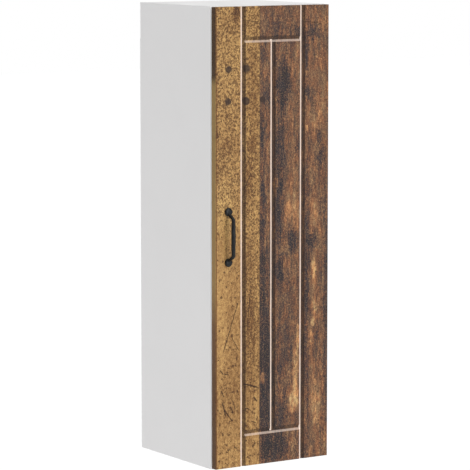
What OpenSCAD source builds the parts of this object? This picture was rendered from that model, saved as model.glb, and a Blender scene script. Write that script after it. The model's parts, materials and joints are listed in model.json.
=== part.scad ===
// Hanging wall cabinet with one door, in white melamine board with an old-wood front.
// +Z is up, the door faces -Y and the wall is the plane Y = 0.
// The origin is midway between the two wall fixing holes.

/* [Cabinet] */
// Overall width
cab_w = 295; // [260:5:450]
// Overall depth, from the wall to the front of the door
cab_d = 310; // [260:5:400]
// Overall height
cab_h = 1000; // [800:10:1200]

/* [Boards] */
// Thickness of the sides, top, bottom, rail and shelves
board_t = 16; // [16:0.5:19]
// Thickness of the back board and of the hanging plates beside it
back_t = 3; // [2.5:0.5:5]
// Gap between the hanging plates and the back board below them
back_gap = 4; // [2:1:10]
// How far the back board's edges lie inside the outline
back_inset = 1; // [0.5:0.5:3]
// Height of the hanging rail
rail_h = 80; // [78:1:100]

/* [Shelves] */
// Number of shelves
shelf_count = 2; // [1:1:3]
// How far a shelf's front edge lies behind the front of the carcass
shelf_setback = 20; // [15:1:40]
// Gap between a shelf and each side
shelf_gap = 0.5; // [0.3:0.1:1.5]
// Diameter of a shelf pin
pin_d = 5; // [4:0.5:6]
// Pitch of the row of shelf pin holes
pin_pitch = 32; // [25:1:40]

/* [Door] */
// Thickness of the door
door_t = 16; // [16:0.5:19]
// Gap between the door and the carcass
door_gap = 1.8; // [1.5:0.1:2.2]
// Reveal at each side of the door
reveal_side = 1; // [0.5:0.1:1.5]
// Reveal above the door
reveal_top = 1; // [0.5:0.5:3]
// Reveal below the door
reveal_bottom = 2; // [0.5:0.5:4]
// Width of a groove at the front of the door
groove_w = 11; // [6:0.5:12]
// Depth of a groove
groove_d = 2.6; // [1.5:0.1:3.6]
// Distance from a side edge of the door to the groove beside the stile
stile_w = 69.5; // [55:0.5:80]
// Distance from the top or bottom edge of the door to the groove beside the rail
door_rail_w = 71.5; // [50:0.5:100]
// Radius on the front edges of the door
door_edge_r = 1.5; // [0.5:0.1:2]

/* [Handle] */
// Distance between the handle's two screws
handle_pitch = 109; // [90:1:160]
// Distance from the left edge of the door to the handle
handle_inset = 32; // [25:1:40]
// Height of the handle's middle above the foot of the cabinet
handle_rise = 506; // [300:1:700]
// Diameter of a handle foot
foot_d = 19; // [16:0.5:24]
// Distance from the door to the middle of the grip
grip_reach = 21; // [18:0.5:30]
// Thickness of the grip in the middle
grip_d = 9.6; // [8:0.2:12]

/* [Hinges] */
// Distance from the end of the door to the middle of the outer hinges
hinge_end = 100; // [80:5:150]
// Diameter of the hinge cup
cup_d = 35; // [34:0.5:36]
// Depth of the hinge cup
cup_depth = 11.5; // [11:0.1:11.5]
// Distance from the edge of the door to the middle of the cup
cup_edge = 22.5; // [22:0.1:23]
// Distance between the two cup screws
cup_screw_pitch = 48; // [45:1:52]
// Distance from the front of the carcass to the mounting plate's screws
plate_line = 37; // [35:1:40]
// Distance between the mounting plate's screws
plate_screw_pitch = 32; // [32:1:36]
// Diameter of a hinge pivot pin
pivot_d = 2.5; // [2:0.1:2.5]
// Radial clearance of a link on its pin
pivot_clear = 0.06; // [0.02:0.01:0.1]
// Radial play of the inner link at the cup, where its path leaves the true one
cup_play = 1.6; // [1.58:0.01:1.65]

/* [Fittings] */
// Distance between the two wall fixing holes
fix_spacing = 180; // [140:1:200]
// Diameter of a wall fixing hole
fix_hole_d = 8.5; // [6:0.5:10]
// Diameter of a cam
cam_d = 15; // [15:0.5:18]
// Distance from the end of a board to the middle of its cam
cam_reach = 24; // [24:1:34]
// Diameter of a dowel
dowel_d = 8; // [6:1:8]
// Length of a dowel
dowel_l = 30; // [25:1:35]
// Radial clearance of a fitting in its hole
fit_clear = 0.1; // [0.05:0.05:0.2]

/* [Hidden] */
$fn = 48;
tiny = 0.01;
// How far a cut runs on past the face it starts from, and past the whole of a thin piece
over = 1;
through = 20;
// How much deeper a hole is than the screw, nail or pin in it
hole_spare = 0.5;
hinge_names = ["top", "middle", "bottom"];
hinge_ids = [0, 1, 2];
shelf_ids = [for (i = [0 : shelf_count - 1]) i];

// Carcass faces
side_x = cab_w / 2;
inner_x = side_x - board_t;
rear_y = -back_t;
door_front_y = -cab_d;
door_rear_y = door_front_y + door_t;
front_y = door_rear_y + door_gap;
fix_drop = board_t + rail_h / 2;
top_z = fix_drop;
bottom_z = top_z - cab_h;
inner_top_z = top_z - board_t;
inner_bottom_z = bottom_z + board_t;
rail_bottom_z = inner_top_z - rail_h;
rail_front_y = rear_y - board_t;
hang_h = 40;
back_top_z = -hang_h / 2 - back_gap;

// Shelves, evenly spaced
shelf_space = (inner_top_z - inner_bottom_z - shelf_count * board_t) / (shelf_count + 1);
function shelf_z(i) = inner_bottom_z + shelf_space * (i + 1) + board_t * i;
shelf_front_y = front_y + shelf_setback;
shelf_rear_y = rear_y - 1;
pin_depth = 9;
pin_hole_depth = 10;
pin_nose = 8;
pin_pad_t = 1.2;
pin_pad_half = 3.5;
pin_front_inset = 37;
pin_rear_inset = 50;
pin_ys = [shelf_front_y + pin_front_inset, shelf_rear_y - pin_rear_inset];
function pin_z(i) = shelf_z(i) - pin_pad_t - pin_d / 2;

// Corner joints: [y, z, turn], where turn lays the cam's open face down, up or back
cam_clear = 0.2;
cam_inset = [60, 80];
dowel_inset = [92, 38];
cam_ys = [front_y + cam_inset[0], rear_y - cam_inset[1]];
dowel_ys = [front_y + dowel_inset[0], rear_y - dowel_inset[1]];
rail_y = (rear_y + rail_front_y) / 2;
face_down = 180;
face_up = 0;
face_back = -90;
top_mid_z = top_z - board_t / 2;
bottom_mid_z = bottom_z + board_t / 2;
rail_fitting_inset = 12;
rail_cam_z = rail_h / 2 - rail_fitting_inset;
top_cams = [for (y = cam_ys) [y, top_mid_z, face_down]];
bottom_cams = [for (y = cam_ys) [y, bottom_mid_z, face_up]];
rail_cams = [[rail_y, rail_cam_z, face_back]];
top_dowels = [for (y = dowel_ys) [y, top_mid_z, face_down]];
bottom_dowels = [for (y = dowel_ys) [y, bottom_mid_z, face_up]];
rail_dowels = [[rail_y, -rail_cam_z, face_back]];
cam_sink = 0.4;
cam_past_middle = 4.6;
cam_h = board_t / 2 - cam_sink + cam_past_middle;
cam_hole_depth = board_t / 2 + cam_past_middle + cam_clear;
cam_slot_l = 9;
cam_slot_w = 1.2;
cam_slot_depth = 2;
cam_bore_past = 3;
cam_cover_rim = 1.25;
cam_cover_t = 1;
bolt_thread_d = 5;
bolt_thread_l = 11;
bolt_neck_l = 3;
bolt_head_l = 3;
bolt_d = 6;
bolt_neck_d = 4;
bolt_head_d = 6.8;
bolt_bore_d = 7.6;
dowel_in_side = 11.5;

// Back board nails
nail_d = 1.6;
nail_head_d = 4;
nail_head_t = 0.8;
nail_l = 20;
nail_rows = 6;
nail_edge = 30;
nail_side_x = side_x - board_t / 2;
nail_bottom_z = bottom_z + board_t / 2;
nail_rail_z = (rail_bottom_z + back_top_z) / 2;
nail_mid_x = inner_x / 2;
nail_spots = concat(
    [for (s = [-1, 1], i = [0 : nail_rows - 1])
        [s * nail_side_x, bottom_z + nail_edge
            + i * (back_top_z - bottom_z - 2 * nail_edge) / (nail_rows - 1)]],
    [for (s = [-1, 1], z = [nail_bottom_z, nail_rail_z]) [s * nail_mid_x, z]]
);

// Hanging plates
hang_w = 50;
hang_corner_r = 4;
hang_screw_x = 18;
hang_screw_d = 4;
hang_screw_l = 14;

// Door
door_left_x = -side_x + reveal_side;
door_right_x = side_x - reveal_side;
door_w = door_right_x - door_left_x;
door_top_z = top_z - reveal_top;
door_bottom_z = bottom_z + reveal_bottom;
door_mid_z = (door_top_z + door_bottom_z) / 2;
groove_r = (groove_w * groove_w / 4 + groove_d * groove_d) / (2 * groove_d);
groove_axis_y = door_front_y + groove_d - groove_r;
groove_left_x = door_left_x + stile_w;
groove_right_x = door_right_x - stile_w;
groove_mid_x = (door_left_x + door_right_x) / 2;
groove_top_z = door_top_z - door_rail_w;
groove_bottom_z = door_bottom_z + door_rail_w;

// Handle
handle_x = door_left_x + handle_inset;
handle_z = bottom_z + handle_rise;
handle_screw_zs = [handle_z - handle_pitch / 2, handle_z + handle_pitch / 2];
handle_screw_d = 4;
screw_head_d = 8;
screw_head_t = 2.4;
foot_t = 6;
foot_rim_t = 2.5;
foot_bevel = 1;
foot_dome_drop = 0.6;
grip_taper = 0.4;
handle_hole_depth = 5;
neck_r = 3.2;
neck_bend_r = 12;
neck_angle = 55;
neck_start_y = -4;
neck_start_z = handle_pitch / 2 - 2;
neck_rise = grip_reach + neck_start_y;
neck_l = (neck_rise - neck_bend_r * (1 - cos(neck_angle))) / sin(neck_angle);
grip_end_z = neck_start_z - neck_l * cos(neck_angle) - neck_bend_r * sin(neck_angle);

// Door buffers
buffer_d = 8;
buffer_clear = 0.3;
buffer_t = door_gap - buffer_clear;
buffer_edge = 40;
buffer_x = -side_x + board_t / 2;

// Hinges. Places are [x, y] from the outer face of the right side and the front of the carcass.
// The hinge keeps its place from the inner face of the side, so the cup lies further from the
// edge of the door where the side is thicker than the board that the hinge is made for.
// An odd number of shelves has one at mid height, and the middle hinge lies above it.
shelf_clearance = 60;
mid_hinge_z = door_mid_z + (shelf_count % 2 == 1 ? shelf_clearance : 0);
hinge_zs = [door_top_z - hinge_end, mid_hinge_z, door_bottom_z + hinge_end];
hinge_board_t = 16;
cup_x = -reveal_side - cup_edge - (board_t - hinge_board_t);
cup_y = -door_gap;
outer_arm_pivot = [-board_t - 18, 15.9];
outer_bends = [[-board_t - 3.5, 0.8], [-board_t - 0.1, cup_y - 3.8]];
outer_cup_pivot = [cup_x + 12.8, cup_y - 2.8];
inner_arm_pivot = [-board_t - 15.3, -5.5];
inner_bends = [[-board_t - 9.5, cup_y - 7.3], [-board_t - 4.3, cup_y - 8]];
inner_cup_pivot = [cup_x + 8.9, cup_y - 6.5];
link_t = 1.6;
eye_wall = 0.65;
outer_eye_r = 3;
outer_cup_eye_r = 2.3;
inner_eye_r = 2.4;
inner_cup_pin_d = 2;
inner_cup_eye_r = inner_cup_pin_d / 2 + cup_play + eye_wall;
inner_link_z = 2.8;
outer_cheek_z = [3.3, 4.7];
outer_bridge = 12;
cup_wall = 1;
cup_floor = 0.6;
cup_flange_r = cup_d / 2 + 1;
cup_flange_t = 0.7;
cup_wing_x = -6;
cup_wing_r = 6.5;
cup_hole_depth = cup_depth + 0.3;
cup_screw_d = 3.6;
cup_screw_l = 12;
cup_screw_head_d = 7;
cup_screw_head_t = 1.6;
lug_r = 2.2;
lug_z = 5.2;
cup_pin_half = 8.3;
cup_pin_short = 0.1;
stub_gap = 0.2;
arm_cheek_z = [6.2, 7.4];
arm_top_x = -board_t - 22.4;
arm_web_t = 1.2;
arm_front_y = 4;
arm_rear_y = 70;
arm_nose_r = 2.6;
arm_foot_gap = 0.3;
arm_throat = [0.4, 6];
arm_foot_y = 27;
arm_bevel = 5;
mount_t = 2.2;
mount_r = 9;
mount_z = plate_screw_pitch / 2;
mount_rise_y = [28, 68];
mount_rise_z = 5.8;
mount_screw_d = 6;
mount_screw_l = 11;
mount_screw_head_d = 8.6;
mount_screw_head_t = 1.5;
adjust_ys = [34, 58];
adjust_d = 5;
adjust_head_d = 8;
adjust_head_t = 1.6;
adjust_l = 14;
adjust_slot_l = 6;
adjust_slot_w = 1;
adjust_slot_depth = 0.9;

// Helpers
module slab(low, high) {
    translate(low) cube(high - low);
}

// A cylinder along X from x0 to x1
module rod_x(x0, x1, d) {
    translate([x0, 0, 0]) rotate([0, 90, 0]) cylinder(d = d, h = x1 - x0);
}

// A cylinder along Y from y0 to y1
module rod_y(y0, y1, d) {
    translate([0, y0, 0]) rotate([-90, 0, 0]) cylinder(d = d, h = y1 - y0);
}

// A cone along Y, d0 wide at y0 and d1 wide at y1
module cone_y(y0, y1, d0, d1) {
    translate([0, y0, 0]) rotate([-90, 0, 0]) cylinder(d1 = d0, d2 = d1, h = y1 - y0);
}

// A flat shape in plan, raised between the two heights and again at the same depths below
module both_ways_z(heights) {
    for (z = [heights[0], -heights[1]])
        translate([0, 0, z]) linear_extrude(heights[1] - heights[0]) children();
}

// A corner joint's frame: +X runs from the side into the board, +Z to the cam's open face
module at_joint(side, spot) {
    translate([side * inner_x, spot[0], spot[1]])
        mirror([side > 0 ? 1 : 0, 0, 0])
            rotate([spot[2], 0, 0]) children();
}

module at_joints(spots) {
    for (side = [-1, 1], spot = spots) at_joint(side, spot) children();
}

module cam_cut() {
    translate([cam_reach, 0, board_t / 2 - cam_hole_depth])
        cylinder(d = cam_d + 2 * fit_clear, h = cam_hole_depth + over);
    rod_x(-over, cam_reach, bolt_bore_d);
}

module dowel_cut() {
    rod_x(-over, dowel_l - dowel_in_side + hole_spare, dowel_d + 2 * fit_clear);
}

// Holes in the inner face of a side panel, drawn for side = -1 or 1
module side_holes(side) {
    for (spot = concat(top_cams, bottom_cams, rail_cams))
        at_joint(side, spot) rod_x(-bolt_thread_l - hole_spare, over, bolt_thread_d + 2 * fit_clear);
    for (spot = concat(top_dowels, bottom_dowels, rail_dowels))
        at_joint(side, spot) rod_x(-dowel_in_side - hole_spare, over, dowel_d + 2 * fit_clear);
    for (i = shelf_ids, y = pin_ys, step = [-1, 0, 1])
        translate([side * inner_x, y, pin_z(i) + step * pin_pitch])
            mirror([side > 0 ? 1 : 0, 0, 0])
                rod_x(-pin_hole_depth, over, pin_d + 2 * fit_clear);
}

// Carcass
module side_panel(side) {
    x0 = side < 0 ? -side_x : inner_x;
    difference() {
        slab([x0, front_y, bottom_z], [x0 + board_t, rear_y, top_z]);
        side_holes(side);
        nail_cuts();
        if (side > 0) hinge_plate_holes();
    }
}

module side_left() {
    color("white") side_panel(-1);
}

module side_right() {
    color("white") side_panel(1);
}

module top_panel() {
    color("whitesmoke") difference() {
        slab([-inner_x, front_y, inner_top_z], [inner_x, rear_y, top_z]);
        at_joints(top_cams) cam_cut();
        at_joints(top_dowels) dowel_cut();
    }
}

module bottom_panel() {
    color("whitesmoke") difference() {
        slab([-inner_x, front_y, bottom_z], [inner_x, rear_y, inner_bottom_z]);
        at_joints(bottom_cams) cam_cut();
        at_joints(bottom_dowels) dowel_cut();
        nail_cuts();
    }
}

module back_panel() {
    edge_x = side_x - back_inset;
    color("gainsboro") difference() {
        slab([-edge_x, rear_y, bottom_z + back_inset], [edge_x, 0, back_top_z]);
        nail_cuts();
    }
}

module hanging_rail() {
    color("whitesmoke") difference() {
        slab([-inner_x, rail_front_y, rail_bottom_z], [inner_x, rear_y, inner_top_z]);
        at_joints(rail_cams) cam_cut();
        at_joints(rail_dowels) dowel_cut();
        nail_cuts();
        fixing_holes();
        hanging_screw_cuts();
    }
}

module fixing_holes() {
    for (side = [-1, 1])
        translate([side * fix_spacing / 2, 0, 0])
            rod_y(rail_front_y - over, over, fix_hole_d);
}

// Shelves
module shelf(i) {
    color("whitesmoke")
        slab([-inner_x + shelf_gap, shelf_front_y, shelf_z(i)],
            [inner_x - shelf_gap, shelf_rear_y, shelf_z(i) + board_t]);
}

module shelf_pin() {
    rod_x(-pin_depth, pin_nose, pin_d);
    slab([shelf_gap, -pin_pad_half, 0], [pin_nose, pin_pad_half, pin_d / 2 + pin_pad_t]);
}

module shelf_pins() {
    color("silver") for (side = [-1, 1], i = shelf_ids, y = pin_ys)
        translate([side * inner_x, y, pin_z(i)])
            mirror([side > 0 ? 1 : 0, 0, 0]) shelf_pin();
}

// Corner fittings
module cam_lock() {
    top = board_t / 2 - cam_sink;
    slot_z = top - cam_slot_depth;
    half_l = cam_slot_l / 2;
    half_w = cam_slot_w / 2;
    translate([cam_reach, 0, 0]) difference() {
        translate([0, 0, top - cam_h]) cylinder(d = cam_d - 2 * fit_clear, h = cam_h);
        rod_x(-cam_d, cam_bore_past, bolt_bore_d);
        slab([-half_l, -half_w, slot_z], [half_l, half_w, top + over]);
        slab([-half_w, -half_l, slot_z], [half_w, half_l, top + over]);
    }
}

module cam_locks() {
    color("lightgray") {
        at_joints(top_cams) cam_lock();
        at_joints(bottom_cams) cam_lock();
        at_joints(rail_cams) cam_lock();
    }
}

module cam_bolt() {
    shaft_l = cam_reach - bolt_neck_l;
    rod_x(-bolt_thread_l, tiny, bolt_thread_d);
    rod_x(0, shaft_l, bolt_d);
    rod_x(shaft_l - tiny, cam_reach, bolt_neck_d);
    rod_x(cam_reach - tiny, cam_reach + bolt_head_l - tiny * 2, bolt_head_d);
}

module cam_bolts() {
    color("silver") {
        at_joints(top_cams) cam_bolt();
        at_joints(bottom_cams) cam_bolt();
        at_joints(rail_cams) cam_bolt();
    }
}

module cam_cover() {
    translate([cam_reach, 0, board_t / 2])
        cylinder(r = cam_d / 2 + cam_cover_rim, h = cam_cover_t);
}

module cam_covers() {
    color("white") {
        at_joints(top_cams) cam_cover();
        at_joints(bottom_cams) cam_cover();
    }
}

module dowels() {
    color("burlywood") {
        at_joints(top_dowels) rod_x(-dowel_in_side, dowel_l - dowel_in_side, dowel_d);
        at_joints(bottom_dowels) rod_x(-dowel_in_side, dowel_l - dowel_in_side, dowel_d);
        at_joints(rail_dowels) rod_x(-dowel_in_side, dowel_l - dowel_in_side, dowel_d);
    }
}

// Nails, driven from the rear, with their heads flush in the back board
module nail_cuts() {
    for (spot = nail_spots) translate([spot[0], 0, spot[1]]) {
        rod_y(-nail_l - hole_spare, over, nail_d + fit_clear);
        rod_y(-nail_head_t, over, nail_head_d + 2 * fit_clear);
    }
}

module back_nails() {
    color("silver") for (spot = nail_spots) translate([spot[0], 0, spot[1]]) {
        rod_y(-nail_l, -nail_head_t + tiny, nail_d);
        rod_y(-nail_head_t, 0, nail_head_d);
    }
}

// Hanging plates, beside each other above the back board
module hanging_plate(side) {
    half_w = hang_w / 2 - hang_corner_r;
    half_h = hang_h / 2 - hang_corner_r;
    color("silver") difference() {
        translate([side * fix_spacing / 2, 0, 0]) {
            slab([-hang_w / 2, rear_y, -half_h], [hang_w / 2, 0, half_h]);
            slab([-half_w, rear_y, -hang_h / 2], [half_w, 0, hang_h / 2]);
            for (x = [-half_w, half_w], z = [-half_h, half_h])
                translate([x, 0, z]) rod_y(rear_y, 0, 2 * hang_corner_r);
        }
        fixing_holes();
        hanging_screw_cuts();
    }
}

module at_hanging_screws() {
    for (side = [-1, 1], x = [-hang_screw_x, hang_screw_x])
        translate([side * fix_spacing / 2 + x, 0, 0]) children();
}

module hanging_screw_cuts() {
    at_hanging_screws() {
        rod_y(-hang_screw_l - hole_spare, over, hang_screw_d + 2 * fit_clear);
        cone_y(-hang_screw_d / 2 - fit_clear, 0, hang_screw_d, 2 * hang_screw_d + 2 * fit_clear);
    }
}

module hanging_plate_screws() {
    color("goldenrod") at_hanging_screws() {
        rod_y(-hang_screw_l, -tiny, hang_screw_d);
        cone_y(-hang_screw_d / 2, 0, hang_screw_d, 2 * hang_screw_d);
    }
}

// Door
module groove_upright(x, z0, z1) {
    translate([x, groove_axis_y, z0]) cylinder(r = groove_r, h = z1 - z0);
}

module groove_level(z) {
    translate([groove_left_x, groove_axis_y, z])
        rotate([0, 90, 0]) cylinder(r = groove_r, h = groove_right_x - groove_left_x);
}

module door_grooves() {
    groove_upright(groove_left_x, door_bottom_z - over, door_top_z + over);
    groove_upright(groove_right_x, door_bottom_z - over, door_top_z + over);
    groove_upright(groove_mid_x, groove_bottom_z, groove_top_z);
    groove_level(groove_top_z);
    groove_level(groove_bottom_z);
}

// The door's outline in plan, with rounded front corners
module door_outline() {
    r = door_edge_r;
    translate([door_left_x, door_front_y + r]) square([door_w, door_t - r]);
    translate([door_left_x + r, door_front_y]) square([door_w - 2 * r, door_t]);
    for (x = [door_left_x + r, door_right_x - r])
        translate([x, door_front_y + r]) circle(r = r);
}

module door_panel() {
    color("peru") difference() {
        translate([0, 0, door_bottom_z]) linear_extrude(door_top_z - door_bottom_z)
            door_outline();
        door_grooves();
        handle_holes();
        hinge_door_holes();
    }
}

module handle_holes() {
    for (z = handle_screw_zs)
        translate([handle_x, 0, z])
            rod_y(door_front_y - over, door_rear_y + over, handle_screw_d + 6 * fit_clear);
}

// A handle foot, with its flat face on the door and its domed face outwards
module handle_foot() {
    foot_r = foot_d / 2;
    rotate([90, 0, 0]) rotate_extrude()
        polygon([
            [0, 0], [foot_r, 0], [foot_r, foot_rim_t],
            [foot_r - foot_bevel, foot_rim_t + foot_bevel],
            [foot_r / 2, foot_t - foot_dome_drop], [0, foot_t]
        ]);
}

// The upper neck, measured from the middle of the handle on the front of the door
module handle_neck() {
    bend_end_y = -grip_reach + neck_bend_r * (1 - cos(neck_angle));
    bend_end_z = grip_end_z + neck_bend_r * sin(neck_angle);
    translate([0, neck_bend_r - grip_reach, grip_end_z]) rotate([90, 0, -90])
        rotate_extrude(angle = neck_angle) translate([neck_bend_r, 0]) circle(r = neck_r);
    translate([0, bend_end_y, bend_end_z]) rotate([-neck_angle, 0, 0])
        cylinder(r = neck_r, h = neck_l);
}

// The grip swells towards its middle
module handle_grip() {
    grip_r = grip_d / 2;
    translate([0, -grip_reach, 0]) rotate_extrude()
        polygon([
            [0, -grip_end_z], [neck_r, -grip_end_z], [grip_r - grip_taper, -grip_end_z / 2],
            [grip_r, 0],
            [grip_r - grip_taper, grip_end_z / 2], [neck_r, grip_end_z], [0, grip_end_z]
        ]);
}

module handle_bow() {
    handle_grip();
    handle_neck();
    mirror([0, 0, 1]) handle_neck();
}

module handle() {
    color([0.07, 0.07, 0.08]) difference() {
        translate([handle_x, door_front_y, handle_z]) {
            for (s = [-1, 1]) translate([0, 0, s * handle_pitch / 2]) handle_foot();
            handle_bow();
        }
        for (z = handle_screw_zs)
            translate([handle_x, 0, z])
                rod_y(door_front_y - handle_hole_depth, door_front_y + over,
                    handle_screw_d + 2 * fit_clear);
    }
}

module handle_screws() {
    color("silver") for (z = handle_screw_zs) translate([handle_x, 0, z]) {
        rod_y(door_front_y - handle_hole_depth + hole_spare, door_rear_y + tiny, handle_screw_d);
        rod_y(door_rear_y, door_rear_y + screw_head_t, screw_head_d);
    }
}

module door_buffers() {
    color([0.9, 0.9, 0.9]) for (z = [door_bottom_z + buffer_edge, door_top_z - buffer_edge])
        translate([buffer_x, 0, z]) {
            rod_y(door_rear_y, door_rear_y + buffer_t / 2, buffer_d);
            cone_y(door_rear_y + buffer_t / 2, door_rear_y + buffer_t, buffer_d, buffer_d / 2);
        }
}

// Hinges. A hinge's frame has its origin at the outer face of the right side and the front of
// the carcass, level with the middle of the hinge.
module at_hinge(i) {
    translate([side_x, front_y, hinge_zs[i]]) children();
}

module at_hinges() {
    for (i = hinge_ids) at_hinge(i) children();
}

// The sides of a strip of even width along a path, in plan, with mitred bends
function unit(v) = v / norm(v);
function left_of(v) = [-v[1], v[0]];
function normal_at(points, i) =
    let (last = len(points) - 1,
        before = left_of(unit(points[max(i, 1)] - points[max(i, 1) - 1])),
        after = left_of(unit(points[min(i + 1, last)] - points[min(i + 1, last) - 1])),
        middle = unit(before + after))
    middle / (middle * before);

module strip(points) {
    ids = [0 : len(points) - 1];
    back = [for (i = [len(points) - 1 : -1 : 0]) i];
    polygon(concat(
        [for (i = ids) points[i] + normal_at(points, i) * link_t / 2],
        [for (i = back) points[i] - normal_at(points, i) * link_t / 2]
    ));
}

// An upright bore or pin at a pivot
module upright(place, r, half) {
    translate([place[0], place[1], -half]) cylinder(r = r, h = 2 * half);
}

module link_bore(place) {
    upright(place, pivot_d / 2 + pivot_clear, through);
}

// The outer link is a fork: two cheeks, bridged beside the arm pivot
module outer_link(i) {
    run = outer_bends[0] - outer_arm_pivot;
    bridge_end = outer_arm_pivot + run * outer_bridge / norm(run);
    color("silver") at_hinge(i) difference() {
        union() {
            both_ways_z(outer_cheek_z)
                strip(concat([outer_arm_pivot], outer_bends, [outer_cup_pivot]));
            both_ways_z(outer_cheek_z) translate(outer_cup_pivot) circle(r = outer_cup_eye_r);
            translate([0, 0, -outer_cheek_z[1]]) linear_extrude(2 * outer_cheek_z[1])
                strip([outer_arm_pivot, bridge_end]);
            upright(outer_arm_pivot, outer_eye_r, outer_cheek_z[1]);
        }
        link_bore(outer_arm_pivot);
        link_bore(outer_cup_pivot);
    }
}

// The inner link runs between the outer link's cheeks. Its eye at the cup has play.
module inner_link(i) {
    color("silver") at_hinge(i) difference() {
        union() {
            translate([0, 0, -inner_link_z]) linear_extrude(2 * inner_link_z)
                strip(concat([inner_arm_pivot], inner_bends, [inner_cup_pivot]));
            upright(inner_arm_pivot, inner_eye_r, inner_link_z);
            upright(inner_cup_pivot, inner_cup_eye_r, inner_link_z);
        }
        link_bore(inner_arm_pivot);
        upright(inner_cup_pivot, inner_cup_pin_d / 2 + cup_play, through);
    }
}

module cup_shell() {
    translate([cup_x, 0, 0]) {
        rod_y(cup_y - cup_depth, cup_y + tiny, cup_d);
        rod_y(cup_y, cup_y + cup_flange_t, 2 * cup_flange_r);
        translate([cup_wing_x, 0, 0]) {
            slab([-cup_wing_r, cup_y, -cup_screw_pitch / 2],
                [cup_wing_r, cup_y + cup_flange_t, cup_screw_pitch / 2]);
            for (s = [-1, 1]) translate([0, 0, s * cup_screw_pitch / 2])
                rod_y(cup_y, cup_y + cup_flange_t, 2 * cup_wing_r);
        }
    }
}

// Lugs in the cup that carry its two pins
module cup_lugs() {
    intersection() {
        translate([cup_x, 0, 0])
            rod_y(cup_y - cup_depth + cup_floor / 2, cup_y, cup_d - cup_wall);
        union() for (s = [0, 1]) mirror([0, 0, s]) translate([0, 0, lug_z]) {
            translate(outer_cup_pivot) cylinder(r = lug_r, h = cup_d);
            translate(inner_cup_pivot) cylinder(r = lug_r, h = cup_d);
        }
    }
}

module hinge_cup(i) {
    color("silver") at_hinge(i) difference() {
        union() {
            difference() {
                cup_shell();
                translate([cup_x, 0, 0])
                    rod_y(cup_y - cup_depth + cup_floor, cup_y + over, cup_d - 2 * cup_wall);
            }
            cup_lugs();
        }
        upright(outer_cup_pivot, pivot_d / 2 + pivot_clear, cup_pin_half);
        upright(inner_cup_pivot, inner_cup_pin_d / 2 + pivot_clear, cup_pin_half);
        at_cup_screws() rod_y(-over, cup_flange_t + over, cup_screw_d + 2 * fit_clear);
    }
}

module at_cup_screws() {
    for (s = [-1, 1]) translate([cup_x + cup_wing_x, cup_y, s * cup_screw_pitch / 2]) children();
}

// The outer link turns on two stub pins, which leave the middle free for the inner link
module hinge_cup_pins() {
    stub = [outer_cheek_z[0] - stub_gap, cup_pin_half - cup_pin_short];
    color("dimgray") at_hinges() {
        both_ways_z(stub) translate(outer_cup_pivot) circle(d = pivot_d);
        upright(inner_cup_pivot, inner_cup_pin_d / 2, cup_pin_half - cup_pin_short);
    }
}

module hinge_arm_pins() {
    color("dimgray") at_hinges() {
        upright(outer_arm_pivot, pivot_d / 2, arm_cheek_z[1]);
        upright(inner_arm_pivot, pivot_d / 2, arm_cheek_z[1]);
    }
}

module hinge_cup_screws() {
    color("goldenrod") at_hinges() at_cup_screws() {
        rod_y(-cup_screw_l, cup_flange_t + tiny, cup_screw_d);
        rod_y(cup_flange_t, cup_flange_t + cup_screw_head_t, cup_screw_head_d);
    }
}

module hinge_door_holes() {
    at_hinges() {
        translate([cup_x, 0, 0])
            rod_y(cup_y - cup_hole_depth, cup_y + over, cup_d + 2 * fit_clear);
        at_cup_screws() rod_y(-cup_screw_l - hole_spare, over, cup_screw_d + 2 * fit_clear);
    }
}

// The hinge arm: two cheeks and a web, over the mounting plate
module arm_cheek() {
    foot_x = -board_t - mount_t - arm_foot_gap;
    polygon([
        [inner_arm_pivot[0] - arm_nose_r, inner_arm_pivot[1]],
        [inner_arm_pivot[0] + arm_nose_r, inner_arm_pivot[1]],
        [inner_arm_pivot[0] + arm_nose_r + arm_throat[0], arm_throat[1]],
        [foot_x, arm_foot_y], [foot_x, arm_rear_y - arm_bevel],
        [foot_x - arm_bevel, arm_rear_y],
        [arm_top_x, arm_rear_y], [arm_top_x, arm_front_y]
    ]);
}

module hinge_arm(i) {
    color("silver") at_hinge(i) difference() {
        union() {
            both_ways_z(arm_cheek_z) arm_cheek();
            both_ways_z(arm_cheek_z) translate(inner_arm_pivot) circle(r = arm_nose_r);
            slab([arm_top_x - arm_web_t, arm_front_y, -arm_cheek_z[1]],
                [arm_top_x, arm_rear_y, arm_cheek_z[1]]);
        }
        link_bore(outer_arm_pivot);
        link_bore(inner_arm_pivot);
        at_adjusters()
            rod_x(arm_top_x - arm_web_t - over, arm_top_x + over, adjust_d + 2 * fit_clear);
    }
}

module at_adjusters() {
    for (y = adjust_ys) translate([0, y, 0]) children();
}

module hinge_adjusting_screws() {
    web_x = arm_top_x - arm_web_t;
    head_x = web_x - adjust_head_t;
    slot_x = head_x + adjust_slot_depth;
    half_l = adjust_slot_l / 2;
    half_w = adjust_slot_w / 2;
    color("silver") at_hinges() at_adjusters() difference() {
        union() {
            rod_x(head_x, web_x, adjust_head_d);
            rod_x(web_x - tiny, arm_top_x + adjust_l, adjust_d);
        }
        slab([head_x - over, -half_l, -half_w], [slot_x, half_l, half_w]);
        slab([head_x - over, -half_w, -half_l], [slot_x, half_w, half_l]);
    }
}

module at_plate_screws() {
    for (s = [-1, 1]) translate([-board_t, plate_line, s * mount_z]) children();
}

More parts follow.
